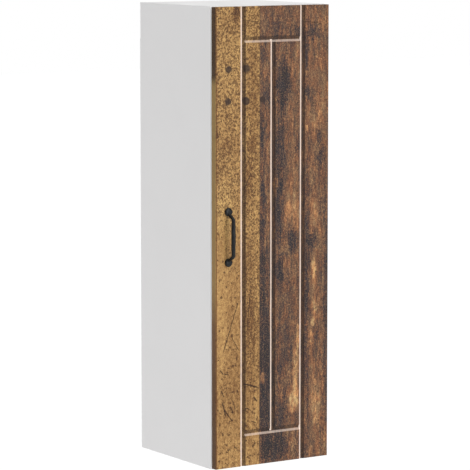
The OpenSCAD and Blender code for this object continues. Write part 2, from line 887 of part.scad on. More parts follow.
module hinge_plate(i) {
    base_x = -board_t - mount_t;
    color("lightgray") at_hinge(i) difference() {
        union() {
            slab([base_x, plate_line - mount_r, -mount_z], [-board_t, plate_line + mount_r, mount_z]);
            slab([base_x, mount_rise_y[0], -mount_r], [-board_t, mount_rise_y[1], mount_r]);
            at_plate_screws() rod_x(-mount_t, 0, 2 * mount_r);
            slab([arm_top_x + arm_foot_gap, mount_rise_y[0], -mount_rise_z],
                [base_x + tiny, mount_rise_y[1], mount_rise_z]);
        }
        at_plate_screws() rod_x(-mount_t - over, over, mount_screw_d + 2 * fit_clear);
        at_adjusters()
            rod_x(arm_top_x - over, arm_top_x + adjust_l + over, adjust_d + 2 * fit_clear);
    }
}

module hinge_plate_screws() {
    color("silver") at_hinges() at_plate_screws() {
        rod_x(-mount_t - tiny, mount_screw_l, mount_screw_d);
        rod_x(-mount_t - mount_screw_head_t, -mount_t, mount_screw_head_d);
    }
}

module hinge_plate_holes() {
    at_hinges() at_plate_screws()
        rod_x(-over, mount_screw_l + hole_spare, mount_screw_d + 2 * fit_clear);
}

side_left();
side_right();
top_panel();
bottom_panel();
back_panel();
hanging_rail();
for (i = shelf_ids) shelf(i);
shelf_pins();
cam_locks();
cam_bolts();
cam_covers();
dowels();
back_nails();
hanging_plate(-1);  // hanging_plate_left
hanging_plate(1);  // hanging_plate_right
hanging_plate_screws();
door_panel();
handle();
handle_screws();
door_buffers();
for (i = hinge_ids) hinge_cup(i);
for (i = hinge_ids) hinge_arm(i);
for (i = hinge_ids) hinge_plate(i);
for (i = hinge_ids) outer_link(i);
for (i = hinge_ids) inner_link(i);
hinge_cup_screws();
hinge_plate_screws();
hinge_adjusting_screws();
hinge_arm_pins();
hinge_cup_pins();
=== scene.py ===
# %% [markdown]
# # A hanging wall cabinet with an old-wood door
# The cabinet is a box of white melamine board with one door, pressed over with a foil that
# is printed like old planks. This lesson loads the finished CAD frame, gives every part its
# finish, and models the pieces whose shape wants more than the frame has.

# %% The frame
import json
import math
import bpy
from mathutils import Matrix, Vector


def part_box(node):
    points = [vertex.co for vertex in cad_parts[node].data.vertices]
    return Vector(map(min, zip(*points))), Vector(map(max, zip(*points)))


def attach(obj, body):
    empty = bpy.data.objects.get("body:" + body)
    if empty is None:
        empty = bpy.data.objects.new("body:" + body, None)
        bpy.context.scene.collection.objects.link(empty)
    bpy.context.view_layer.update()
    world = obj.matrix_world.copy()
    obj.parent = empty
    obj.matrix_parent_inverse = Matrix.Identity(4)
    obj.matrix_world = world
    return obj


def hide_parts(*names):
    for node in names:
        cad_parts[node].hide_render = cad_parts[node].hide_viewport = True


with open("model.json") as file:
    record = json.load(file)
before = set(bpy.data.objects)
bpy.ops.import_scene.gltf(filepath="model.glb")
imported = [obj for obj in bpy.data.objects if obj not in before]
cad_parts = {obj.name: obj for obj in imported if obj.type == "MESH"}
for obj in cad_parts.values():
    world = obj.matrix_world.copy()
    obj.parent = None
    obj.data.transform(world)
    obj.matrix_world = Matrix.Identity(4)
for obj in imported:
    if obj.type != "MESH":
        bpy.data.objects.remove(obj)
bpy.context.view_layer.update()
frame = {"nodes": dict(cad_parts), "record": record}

from types import SimpleNamespace

import bmesh
import bpy
from mathutils import Matrix, Vector, noise

MM = 0.001
nodes = frame["nodes"]
carcass_low, carcass_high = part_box("side_left")
door_low, door_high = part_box("door_panel")
door_size = door_high - door_low
print(f"{len(nodes)} nodes, door {door_size.x / MM:.0f} x {door_size.z / MM:.0f} mm")

# %% [markdown]
# ## The studio
# The cabinet hangs on a wall that isn't shown, so the floor lies well below it. A long lens
# from far away keeps the upright edges upright. The world is white and soft, a tall soft
# light in front of the door brings out its colours, and a broad light overhead whitens the
# floor and makes the top the palest face.

# %% Camera
# Where the camera stands, how far it turns to the right, and how far it looks down
CAMERA_PLACE = (-3.2653, -5.1961, 0.279)
CAMERA_TURN = math.radians(32.96)
CAMERA_TILT = math.radians(6.98)
LENS_MM = 209.2
scene = bpy.context.scene
scene.view_settings.view_transform = "Standard"
camera_data = bpy.data.cameras.new("camera")
camera_data.lens = LENS_MM
camera = bpy.data.objects.new("camera", camera_data)
camera.location = CAMERA_PLACE
camera.rotation_euler = (math.pi / 2 - CAMERA_TILT, 0, -CAMERA_TURN)
scene.collection.objects.link(camera)
scene.camera = camera
print("camera at", [round(x, 2) for x in CAMERA_PLACE])

# %% Floor
FLOOR_DROP = 1.3
FLOOR_HALF = 30


def add_floor():
    """A wide pale floor, one flat sheet."""
    bm = bmesh.new()
    bmesh.ops.create_grid(bm, x_segments=2, y_segments=2, size=FLOOR_HALF)
    bmesh.ops.translate(bm, verts=bm.verts, vec=(0, 0, carcass_low.z - FLOOR_DROP))
    mesh = bpy.data.meshes.new("floor")
    bm.to_mesh(mesh)
    bm.free()
    floor = bpy.data.objects.new("floor", mesh)
    scene.collection.objects.link(floor)
    return floor


floor = add_floor()
print(f"floor {FLOOR_DROP} m below the cabinet")

# %% Lights
FRONT_PLACE = (0.45, -3.2, 0.2)
FRONT_WIDE, FRONT_TALL = 1.0, 2.6
FRONT_WATTS = 50
OVERHEAD_STRENGTH = 2.5
OVERHEAD_SPREAD = math.radians(70)
OVERHEAD_LEAN = math.radians(14)


def area_light(name, place, aim, width, height, watts):
    """A soft rectangular light that looks at a point."""
    data = bpy.data.lights.new(name, "AREA")
    data.shape = "RECTANGLE"
    data.size = width
    data.size_y = height
    data.energy = watts
    lamp = bpy.data.objects.new(name, data)
    lamp.location = place
    lamp.rotation_euler = (Vector(aim) - Vector(place)).to_track_quat("-Z", "Y").to_euler()
    scene.collection.objects.link(lamp)


middle = (carcass_low + carcass_high) / 2
middle.x = 0
area_light("front_light", FRONT_PLACE, middle, FRONT_WIDE, FRONT_TALL, FRONT_WATTS)
overhead_data = bpy.data.lights.new("overhead_light", "SUN")
overhead_data.energy = OVERHEAD_STRENGTH
overhead_data.angle = OVERHEAD_SPREAD
overhead = bpy.data.objects.new("overhead_light", overhead_data)
overhead.rotation_euler = (OVERHEAD_LEAN, 0, 0)
scene.collection.objects.link(overhead)
print("a front light and an overhead light")

# %% World
# How bright the world looks to the camera, and how much light it gives
WORLD_SHOWN = 1.0
WORLD_GIVEN = 0.28
WHITE = (1, 1, 1, 1)
world = bpy.data.worlds.new("studio")
scene.world = world
world.use_nodes = True
world_tree = world.node_tree
shown = world_tree.nodes.new("ShaderNodeBackground")
given = world_tree.nodes["Background"]
for light, strength in ((shown, WORLD_SHOWN), (given, WORLD_GIVEN)):
    light.inputs["Color"].default_value = WHITE
    light.inputs["Strength"].default_value = strength
ray = world_tree.nodes.new("ShaderNodeLightPath")
either = world_tree.nodes.new("ShaderNodeMixShader")
world_tree.links.new(ray.outputs["Is Camera Ray"], either.inputs[0])
world_tree.links.new(given.outputs[0], either.inputs[1])
world_tree.links.new(shown.outputs[0], either.inputs[2])
world_tree.links.new(either.outputs[0], world_tree.nodes["World Output"].inputs[0])
print("a white world, seen at", WORLD_SHOWN, "and lighting at", WORLD_GIVEN)

# %% [markdown]
# ## A short way to write shader nodes
# A material is a chain of small nodes. These helpers add one node in one line: a value that
# is a socket is linked, and any other value is set. Colours are written as a paint maker
# gives them, from 0 to 255, and turned into the linear values that the shader wants.


# %% Node helpers
def linear(red, green, blue):
    """A colour from 0-255 values, as linear values with an alpha."""
    parts = []
    for part in (red, green, blue):
        share = part / 255
        parts.append(share / 12.92 if share <= 0.04045 else ((share + 0.055) / 1.055) ** 2.4)
    return (*parts, 1)


def add(tree, kind, inputs=None, **settings):
    """One node. inputs maps a socket's name or number to a value or to another node's output."""
    made = tree.nodes.new("ShaderNode" + kind)
    for name, value in settings.items():
        setattr(made, name, value)
    for name, value in (inputs or {}).items():
        if isinstance(value, bpy.types.NodeSocket):
            tree.links.new(value, made.inputs[name])
        else:
            made.inputs[name].default_value = value
    return made


def calc(tree, operation, first, second=0.0, third=0.0):
    """One step of arithmetic on values."""
    inputs = {0: first, 1: second, 2: third}
    return add(tree, "Math", inputs, operation=operation).outputs[0]


def vector_calc(tree, operation, first, second, third=(0, 0, 0)):
    """One step of arithmetic on places."""
    inputs = {0: first, 1: second, 2: third}
    return add(tree, "VectorMath", inputs, operation=operation).outputs[0]


def fade(tree, value, start, end, low=0.0, high=1.0):
    """A smooth step from low at start to high at end."""
    inputs = {"Value": value, 1: start, 2: end, 3: low, 4: high}
    return add(tree, "MapRange", inputs, interpolation_type="SMOOTHSTEP").outputs[0]


def ramp(tree, value, stops):
    """A colour for each value, blended between (place, colour) stops."""
    made = add(tree, "ValToRGB", {0: value})
    bars = made.color_ramp.elements
    while len(bars) < len(stops):
        bars.new(0.5)
    for bar, (place, colour) in zip(bars, stops):
        bar.position = place
        bar.color = linear(*colour)
    return made.outputs[0]


def mix(tree, share, first, second, blend_type="MIX"):
    """Two colours, blended by a share."""
    inputs = {0: share, 6: first, 7: second}
    return add(tree, "Mix", inputs, data_type="RGBA", blend_type=blend_type).outputs[2]


print("a node in one line, for example linear(128, 128, 128) =", linear(128, 128, 128))


# %% Pattern helpers
def stretched(tree, vector, scale, turn=(0, 0, 0)):
    """A pattern's place, scaled by its own amount along each axis."""
    inputs = {"Vector": vector, "Scale": scale, "Rotation": turn}
    return add(tree, "Mapping", inputs).outputs[0]


def cloud(tree, vector, scale, detail=3.0, rough=0.5, warp=0.0):
    """Soft noise from 0 to 1."""
    inputs = {"Vector": vector, "Scale": scale, "Detail": detail, "Roughness": rough,
              "Distortion": warp}
    return add(tree, "TexNoise", inputs).outputs[0]


print("patterns can be stretched and clouded")


# %% Group and material helpers
def new_group(name, inputs, outputs):
    """An empty shader group. Sockets are (name, type, default) and (name, type)."""
    group = bpy.data.node_groups.new(name, "ShaderNodeTree")
    for label, kind, default in inputs:
        socket = group.interface.new_socket(label, in_out="INPUT", socket_type="NodeSocket" + kind)
        if default is not None:
            socket.default_value = default
    for label, kind in outputs:
        group.interface.new_socket(label, in_out="OUTPUT", socket_type="NodeSocket" + kind)
    start = group.nodes.new("NodeGroupInput")
    end = group.nodes.new("NodeGroupOutput")
    return group, start.outputs, end.inputs


def use(tree, group, inputs):
    """Places a group in a tree and gives its outputs."""
    return add(tree, "Group", inputs, node_tree=group).outputs


def new_material(name, **plain):
    """A material, with its shader's plain values set on the shader itself."""
    material = bpy.data.materials.new(name)
    material.use_nodes = True
    tree = material.node_tree
    shader = tree.nodes["Principled BSDF"]
    for label, value in plain.items():
        shader.inputs[label.replace("_", " ")].default_value = value
    place = tree.nodes.new("ShaderNodeTexCoord").outputs["Object"]
    return material, tree, shader, place


def bump(tree, shader, height, depth, strength):
    """Small relief. depth is in metres, for a height of 1."""
    inputs = {"Height": height, "Distance": depth, "Strength": strength}
    made = add(tree, "Bump", inputs)
    tree.links.new(made.outputs[0], shader.inputs["Normal"])


def feed(tree, shader, **sockets):
    """Links outputs to the shader's sockets by name."""
    for label, socket in sockets.items():
        tree.links.new(socket, shader.inputs[label.replace("_", " ")])


print("groups and materials can be made")

# %% [markdown]
# ## Effects that several finishes share
# Wood shows streaks along its grain, fine and coarse. Every surface that hands touch carries
# faint smears and dust. Both are groups, built once and given their own values each time.


# %% Shared effects
def build_grain():
    """Streaks along Z. The place is in millimetres."""
    inputs = [("Vector", "Vector", None), ("Coarse", "Float", 0.12), ("Fine", "Float", 0.9)]
    outputs = [("Broad", "Float"), ("Streak", "Float"), ("Fibre", "Float")]
    group, given_in, out = new_group("wood grain", inputs, outputs)
    broad_place = stretched(group, given_in["Vector"], (1, 1, 0.22))
    streak_place = stretched(group, given_in["Vector"], (1, 1, 0.10))
    fibre_place = stretched(group, given_in["Vector"], (1, 1, 0.05))
    broad = cloud(group, broad_place, 0.045, 6, 0.7, 0.6)
    streak = cloud(group, streak_place, given_in["Coarse"], 7, 0.72, 0.5)
    fibre = cloud(group, fibre_place, given_in["Fine"], 4, 0.7)
    group.links.new(broad, out["Broad"])
    group.links.new(streak, out["Streak"])
    group.links.new(fibre, out["Fibre"])
    return group


def build_handling():
    """Faint smears and dust: a share that varies, and a very fine tooth."""
    inputs = [("Vector", "Vector", None), ("Size", "Float", 12.0), ("Tooth", "Float", 900.0)]
    outputs = [("Smear", "Float"), ("Tooth", "Float")]
    group, given_in, out = new_group("handling", inputs, outputs)
    smear = cloud(group, given_in["Vector"], given_in["Size"], 5, 0.6, 0.5)
    tooth = cloud(group, given_in["Vector"], given_in["Tooth"], 2, 0.5)
    group.links.new(fade(group, smear, 0.35, 0.68), out["Smear"])
    group.links.new(tooth, out["Tooth"])
    return group


grain_group = build_grain()
handling_group = build_handling()
print("groups:", grain_group.name, "and", handling_group.name)

# %% [markdown]
# ## The door's old-wood foil
# The foil is a print of reclaimed boards: one golden board, riddled by woodworm, and beside
# it dark weathered boards. A print has features in fixed places, so the pattern is made from
# two sorts of nodes. Noise along the grain gives the wood, and small groups put each stain,
# nail and scratch where it belongs, as a painter would. Places are in millimetres from the
# door's lower left corner.


# %% Marks in fixed places
def build_stain():
    """A soft-edged oval: its tone inside, nothing outside."""
    inputs = [("Vector", "Vector", None), ("Middle", "Vector", None),
              ("Half Size", "Vector", None), ("Ragged", "Float", 0.0), ("Tone", "Float", 1.0)]
    group, given_in, out = new_group("stain", inputs, [("Tone", "Float")])
    away = vector_calc(group, "SUBTRACT", given_in["Vector"], given_in["Middle"])
    share = vector_calc(group, "DIVIDE", away, given_in["Half Size"])
    reach = add(group, "VectorMath", {0: share}, operation="LENGTH").outputs["Value"]
    inside = fade(group, calc(group, "ADD", reach, given_in["Ragged"]), 1.35, 0.35)
    group.links.new(calc(group, "MULTIPLY", inside, given_in["Tone"]), out["Tone"])
    return group


def build_scratch():
    """A thin line, broken up along its length."""
    inputs = [("Vector", "Vector", None), ("Middle", "Vector", None), ("Lean", "Float", 0.0),
              ("Half Length", "Float", 10.0), ("Half Width", "Float", 0.5)]
    group, given_in, out = new_group("scratch", inputs, [("Mask", "Float")])
    turn = {"Vector": given_in["Vector"], "Center": given_in["Middle"], "Angle": given_in["Lean"]}
    turned = add(group, "VectorRotate", turn, rotation_type="Y_AXIS").outputs[0]
    away = vector_calc(group, "SUBTRACT", turned, given_in["Middle"])
    parts = add(group, "SeparateXYZ", {0: away}).outputs
    across = calc(group, "DIVIDE", calc(group, "ABSOLUTE", parts["X"]), given_in["Half Width"])
    along = calc(group, "DIVIDE", calc(group, "ABSOLUTE", parts["Z"]), given_in["Half Length"])
    line = calc(group, "MULTIPLY", fade(group, across, 1.3, 0.4), fade(group, along, 1.05, 0.7))
    group.links.new(line, out["Mask"])
    return group


def build_worm():
    """Round holes, one to a cell, each of its own size, and only in some cells."""
    inputs = [("Vector", "Vector", None), ("Cell", "Float", 6.0), ("Share", "Float", 0.5),
              ("Size", "Float", 0.3)]
    group, given_in, out = new_group("worm holes", inputs, [("Mask", "Float")])
    scale = calc(group, "DIVIDE", 1.0, given_in["Cell"])
    spread = {"Vector": given_in["Vector"], "Scale": scale, "Randomness": 1.0}
    cells = add(group, "TexVoronoi", spread).outputs
    luck = add(group, "SeparateColor", {0: cells["Color"]}).outputs
    size = calc(group, "MULTIPLY_ADD", luck["Green"], 0.7, 0.3)
    size = calc(group, "MULTIPLY", given_in["Size"], size)
    hole = fade(group, calc(group, "DIVIDE", cells["Distance"], size), 1.25, 0.75)
    chosen = calc(group, "LESS_THAN", luck["Red"], given_in["Share"])
    group.links.new(calc(group, "MULTIPLY", hole, chosen), out["Mask"])
    return group


stain_group = build_stain()
scratch_group = build_scratch()
worm_group = build_worm()
print("marks:", stain_group.name, scratch_group.name, worm_group.name)

# %% Where the stains, nails and scratches are
# Width of the golden board, and a half size that takes a stain right through the door
SEAM = 113
THROUGH_DOOR = 400
# Dark boards: (across, up, half width, half height, tone). A tone below 0 darkens.
DARK_STAINS = [
    (172, 825, 20, 62, -0.34), (124, 887, 9, 16, -0.24), (131, 812, 11, 32, -0.24),
    (118, 760, 8, 60, -0.14), (212, 940, 9, 14, -0.26), (160, 950, 14, 30, -0.14),
    (250, 937, 24, 15, -0.22), (235, 808, 11, 15, -0.36), (236, 905, 6, 60, -0.20),
    (166, 690, 13, 74, -0.34), (162, 560, 12, 84, -0.34), (212, 695, 9, 20, -0.26),
    (200, 620, 16, 60, 0.10), (196, 560, 18, 30, 0.12), (205, 850, 12, 40, 0.08),
    (268, 665, 12, 15, -0.22), (268, 712, 11, 12, -0.18), (262, 880, 24, 60, 0.12),
    (120, 500, 10, 170, -0.28), (137, 560, 7, 120, 0.02), (197, 486, 15, 26, -0.30),
    (249, 485, 15, 14, -0.30), (172, 470, 17, 13, 0.16), (163, 420, 13, 44, -0.28),
    (257, 540, 10, 34, 0.20), (255, 418, 6, 28, 0.36), (255, 345, 8, 60, 0.16),
    (252, 305, 5, 9, 0.34), (248, 272, 4, 14, 0.26), (290, 330, 9, 240, -0.26),
    (236, 350, 7, 260, -0.20), (128, 200, 22, 220, -0.36), (121, 190, 9, 13, 0.50),
    (213, 268, 5, 46, 0.34), (207, 190, 8, 60, 0.32), (205, 130, 16, 26, 0.40),
    (178, 250, 24, 130, -0.12), (160, 100, 20, 60, -0.14), (262, 125, 15, 56, 0.24),
    (252, 200, 8, 20, 0.14), (160, 34, 52, 34, -0.30), (198, 34, 9, 26, 0.26),
    (159, 612, 3, 10, 0.40), (235, 730, 3, 7, 0.36), (262, 760, 22, 60, 0.13),
]
# Golden board: the same, with pale places above 0
GOLD_STAINS = [
    (52, 985, 8, 24, -0.34), (20, 560, 26, 60, 0.14), (14, 300, 16, 130, 0.08),
    (30, 60, 40, 60, 0.02), (96, 820, 16, 120, -0.10), (86, 610, 14, 60, -0.16),
    (3, 722, 5, 8, -0.60), (40, 880, 30, 60, 0.04), (94, 700, 14, 20, -0.18),
    (34, 700, 30, 24, -0.12), (58, 460, 10, 60, -0.06), (90, 330, 12, 60, -0.10),
    (96, 60, 20, 50, 0.02), (104, 120, 10, 30, 0.06), (84, 450, 16, 60, -0.08),
    (40, 200, 60, 260, -0.12), (100, 200, 30, 220, -0.08),
]
# Nail heads: (across, up, radius), with a tone that fills them to the rim
NAIL_TONE = 1.9
NAILS = [(33, 864, 7.5), (79, 865, 8.5), (31.8, 795, 7.5), (77.7, 795, 8.5), (120, 797, 6.5)]
# Scratches and cracks: (from across, from up, to across, to up, half width, strength)
SCRATCHES = [
    (61, 371, 17, 248, 1.1, 0.9), (39, 289, 61, 253, 1.0, 0.8), (91, 401, 79, 287, 0.9, 0.7),
    (72, 400, 98, 414, 0.7, 0.7), (91, 640, 72, 603, 1.5, 0.8), (74, 604, 70, 574, 1.2, 0.6),
    (70, 182, 111, 170, 1.7, 1.0), (72, 968, 113, 963, 0.8, 0.8), (231, 962, 278, 955, 0.9, 0.9),
    (17, 148, 26, 112, 1.6, 0.9), (42, 150, 50, 128, 1.3, 0.8), (47, 46, 55, 40, 1.4, 0.8),
    (76, 690, 88, 655, 0.8, 0.5), (104, 290, 82, 262, 0.8, 0.6), (22, 130, 36, 110, 1.6, 0.9),
    (36, 110, 42, 102, 1.5, 0.9), (37, 136, 45, 118, 1.5, 0.9), (11, 217, 20, 206, 1.4, 0.9),
    (22, 205, 34, 207, 1.3, 0.9), (14, 173, 21, 157, 1.5, 0.9), (97, 151, 107, 139, 1.5, 0.9),
    (74, 128, 87, 123, 1.3, 0.8), (91, 98, 105, 91, 1.4, 0.8), (94, 40, 104, 49, 1.3, 0.8),
]
print(f"{len(DARK_STAINS) + len(GOLD_STAINS)} stains, {len(NAILS)} nails, "
      f"{len(SCRATCHES)} scratches")


# %% Adding the marks up
def total_tone(tree, place, stains, ragged=0.0):
    """All the stains' tones together."""
    total = 0.0
    for across, up, half_across, half_up, tone in stains:
        spot = {"Vector": place, "Middle": (across, 0, up), "Ragged": ragged, "Tone": tone,
                "Half Size": (half_across, THROUGH_DOOR, half_up)}
        total = calc(tree, "ADD", use(tree, stain_group, spot)["Tone"], total)
    return total


def all_scratches(tree, place):
    """The darkest of all the scratches."""
    total = 0.0
    for x0, z0, x1, z1, half_width, strength in SCRATCHES:
        line = {"Vector": place, "Middle": ((x0 + x1) / 2, 0, (z0 + z1) / 2),
                "Lean": -math.atan2(x1 - x0, z1 - z0),
                "Half Length": math.hypot(x1 - x0, z1 - z0) / 2, "Half Width": half_width}
        mask = calc(tree, "MULTIPLY", use(tree, scratch_group, line)["Mask"], strength)
        total = calc(tree, "MAXIMUM", mask, total)
    return total


print("marks can be added up")

# %% [markdown]
# ## Painted highlight and shade in the grooves
# The grooves are cut into the door, and the foil is pressed into them. A highlight is painted on
# the lit side of each groove and shade on the other side. A mask for each side, found from the
# distance to the groove's middle, puts both exactly where the frame has its grooves.

# %% Painted highlight and shade in the grooves
# In millimetres from the door's edges: beside the stiles, and beside the rails
GROOVE_W = 11
UPRIGHT_INSET = 69.5
LEVEL_INSET = 71.5
# From the groove's middle, for the painted highlight and then the painted shade: start, end, and
# how much of it a level groove shows
PAINTED_HIGHLIGHT_SIDE = (-GROOVE_W / 2 - 0.3, -1.2, 0.45)
PAINTED_SHADE_SIDE = (-0.4, GROOVE_W / 2 + 2.2, 0.7)


def band(tree, value, start, end, soft=0.5):
    """One between start and end, nothing outside."""
    rising = fade(tree, value, start - soft, start + soft)
    return calc(tree, "MULTIPLY", rising, fade(tree, value, end + soft, end - soft))


def groove_highlight_and_shade(tree, across, up):
    """The painted highlight and the painted shade: left and right in an upright groove,
    below and above in a level one."""
    wide, tall = door_size.x / MM, door_size.z / MM
    inset = UPRIGHT_INSET + GROOVE_W / 2
    within = band(tree, up, LEVEL_INSET, tall - LEVEL_INSET)
    between = band(tree, across, inset, wide - inset)
    masks = []
    # The first mask is the painted highlight, the second the painted shade
    for start, end, level_share in (PAINTED_HIGHLIGHT_SIDE, PAINTED_SHADE_SIDE):
        upright = 0.0
        for x in (UPRIGHT_INSET, wide - UPRIGHT_INSET):
            upright = calc(tree, "MAXIMUM", band(tree, across, x + start, x + end), upright)
        centre = band(tree, across, wide / 2 + start, wide / 2 + end)
        upright = calc(tree, "MAXIMUM", upright, calc(tree, "MULTIPLY", centre, within))
        level = 0.0
        for z in (LEVEL_INSET, tall - LEVEL_INSET):
            level = calc(tree, "MAXIMUM", band(tree, up, z + start, z + end), level)
        level = calc(tree, "MULTIPLY", calc(tree, "MULTIPLY", level, between), level_share)
        masks.append(calc(tree, "MAXIMUM", upright, level))
    return masks


print(f"grooves {GROOVE_W} mm wide on a door {door_size.x / MM:.0f} mm wide")

# %% [markdown]
# ## Places and grain that all the boards share
# Straight edges make a print look drawn. So each mark reads a place that noise has pushed
# about: far for stains, a little for lines, and in tiny jerks for holes. One group gives the
# grain of every board, and only the colours differ.

# %% Places and grain
NOISE_MIDDLE = (0.5, 0.5, 0.5)
STAIN_PUSH = (16, 0, 40)
LINE_PUSH = (4, 0, 4)
HOLE_PUSH = (7, 0, 9)


def foil_patterns(tree, place):
    """Places in millimetres from the door's lower left corner, with the grain on them."""
    corner = tuple(-door_low / MM)
    laid = {"Vector": place, "Scale": (1 / MM,) * 3, "Location": corner}
    flat = add(tree, "Mapping", laid).outputs[0]
    slow = add(tree, "TexNoise", {"Vector": flat, "Scale": 0.09, "Detail": 4.0}).outputs["Color"]
    slow = vector_calc(tree, "SUBTRACT", slow, NOISE_MIDDLE)
    warped = vector_calc(tree, "MULTIPLY_ADD", slow, STAIN_PUSH, flat)
    rough = vector_calc(tree, "MULTIPLY_ADD", slow, LINE_PUSH, flat)
    quick = add(tree, "TexNoise", {"Vector": flat, "Scale": 0.5, "Detail": 3.0}).outputs["Color"]
    quick = vector_calc(tree, "SUBTRACT", quick, NOISE_MIDDLE)
    torn = vector_calc(tree, "MULTIPLY_ADD", quick, HOLE_PUSH, flat)
    grain = use(tree, grain_group, {"Vector": flat, "Coarse": 0.16, "Fine": 0.7})
    spark = cloud(tree, stretched(tree, torn, (1, 1, 0.55)), 0.34, 4, 0.8)
    ragged = calc(tree, "MULTIPLY_ADD", grain["Streak"], 2.2, -2.1)
    ragged = calc(tree, "MULTIPLY_ADD", spark, 2.0, ragged)
    parts = add(tree, "SeparateXYZ", {0: flat}).outputs
    return SimpleNamespace(flat=flat, warped=warped, rough=rough, torn=torn, grain=grain,
                           spark=spark, ragged=ragged, across=parts["X"], deep=parts["Y"],
                           up=parts["Z"])


print("places for stains, lines and holes ready")

# %% [markdown]
# ## The golden board
# Golden wood is tan and mottled. Woodworm has eaten it: round holes, winding tracks and crumbs,
# dense above and sparse below. A cell pattern gives the holes, one to a cell, and a thin line
# where a noise passes through its middle value gives the tracks.

# %% Golden board
GOLD_RAMP = [(0.10, (66, 42, 26)), (0.30, (120, 84, 46)), (0.44, (158, 120, 72)),
             (0.60, (186, 147, 90)), (0.85, (206, 170, 106))]
WORM_BROWN = linear(68, 40, 22)


def gold_wood(tree, foil):
    """Tan, mottled wood."""
    mottle = cloud(tree, stretched(tree, foil.flat, (1, 1, 0.6)), 0.16, 6, 0.75)
    tone = calc(tree, "MULTIPLY_ADD", mottle, 1.1, -0.22)
    tone = calc(tree, "MULTIPLY_ADD", foil.grain["Broad"], 0.35, tone)
    tone = calc(tree, "ADD", tone, total_tone(tree, foil.warped, GOLD_STAINS, foil.ragged))
    return ramp(tree, tone, GOLD_RAMP)


def worm_reach(tree, foil):
    """How much woodworm there is: less below, and on the stile from higher up."""
    inner = calc(tree, "GREATER_THAN", foil.across, UPRIGHT_INSET)
    on_stile = calc(tree, "MULTIPLY", fade(tree, foil.up, 420, 620, 0.15, 1.0),
                    calc(tree, "SUBTRACT", 1.0, inner))
    return calc(tree, "MULTIPLY_ADD", fade(tree, foil.up, 120, 330, 0.35, 1.0), inner, on_stile)


def worm_holes(tree, foil, reach):
    """Fine holes in crowds, and a few large ones everywhere."""
    crowd = fade(tree, cloud(tree, foil.flat, 0.03, 2), 0.30, 0.60, 0.55, 1.2)
    crowd = calc(tree, "MULTIPLY", reach, crowd)
    fine = {"Vector": foil.torn, "Cell": 4.5, "Share": crowd, "Size": 0.56}
    large = {"Vector": foil.torn, "Cell": 13.0, "Share": 0.35, "Size": 0.24}
    fine, large = (use(tree, worm_group, given)["Mask"] for given in (fine, large))
    return calc(tree, "MAXIMUM", calc(tree, "MULTIPLY", fine, 0.85),
                calc(tree, "MULTIPLY", large, 0.9))


def from_middle(tree, place, scale, detail):
    """How far a noise is from its middle value: 0 along winding lines."""
    pattern = cloud(tree, place, scale, detail, 0.5)
    return calc(tree, "ABSOLUTE", calc(tree, "SUBTRACT", pattern, 0.5))


def worm_tracks(tree, foil, reach):
    """Fine tracks among the holes, and long ones below them."""
    fine = fade(tree, from_middle(tree, foil.torn, 0.12, 2), 0.075, 0.025, 0.0, 0.85)
    fine = calc(tree, "MULTIPLY", fine, reach)
    broken = fade(tree, cloud(tree, foil.rough, 0.22, 2), 0.42, 0.54)
    fine = calc(tree, "MULTIPLY", fine, broken)
    long = fade(tree, from_middle(tree, foil.rough, 0.09, 1), 0.045, 0.012, 0.0, 0.9)
    long = calc(tree, "MULTIPLY", long, fade(tree, foil.up, 320, 240))
    long = calc(tree, "MULTIPLY", long, fade(tree, cloud(tree, foil.flat, 0.07, 1), 0.52, 0.60))
    return calc(tree, "MAXIMUM", fine, long)


def worm_marks(tree, foil):
    """Holes, tracks and crumbs together."""
    reach = worm_reach(tree, foil)
    holes = worm_holes(tree, foil, reach)
    tracks = worm_tracks(tree, foil, reach)
    crumbs = cloud(tree, stretched(tree, foil.torn, (1, 1, 0.8)), 0.26, 4, 0.8)
    crumbs = fade(tree, crumbs, 0.51, 0.61, 0.0, 0.85)
    crumbs = calc(tree, "MULTIPLY", crumbs, calc(tree, "MULTIPLY_ADD", reach, 0.7, 0.3))
    return calc(tree, "MAXIMUM", holes, calc(tree, "MAXIMUM", crumbs, tracks))


print(len(GOLD_RAMP), "golden tones")

# %% [markdown]
# ## The dark boards
# Weathered boards run from blue-grey through brown to tan, in short broken streaks. Four
# patterns are added about their middle values, so that each one widens the range of tones
# without making the whole lighter, and a slow drift of hue keeps neighbouring streaks apart.

# %% Dark boards
DARK_RAMP = [(0.02, (28, 28, 33)), (0.20, (50, 44, 47)), (0.38, (82, 58, 44)),
             (0.54, (112, 80, 56)), (0.70, (142, 104, 68)), (0.92, (198, 158, 102))]
REDDER = (1.10, 0.93, 0.93, 1)
COOLER = (0.90, 0.98, 1.12, 1)
FLECK_DARK = linear(36, 26, 24)


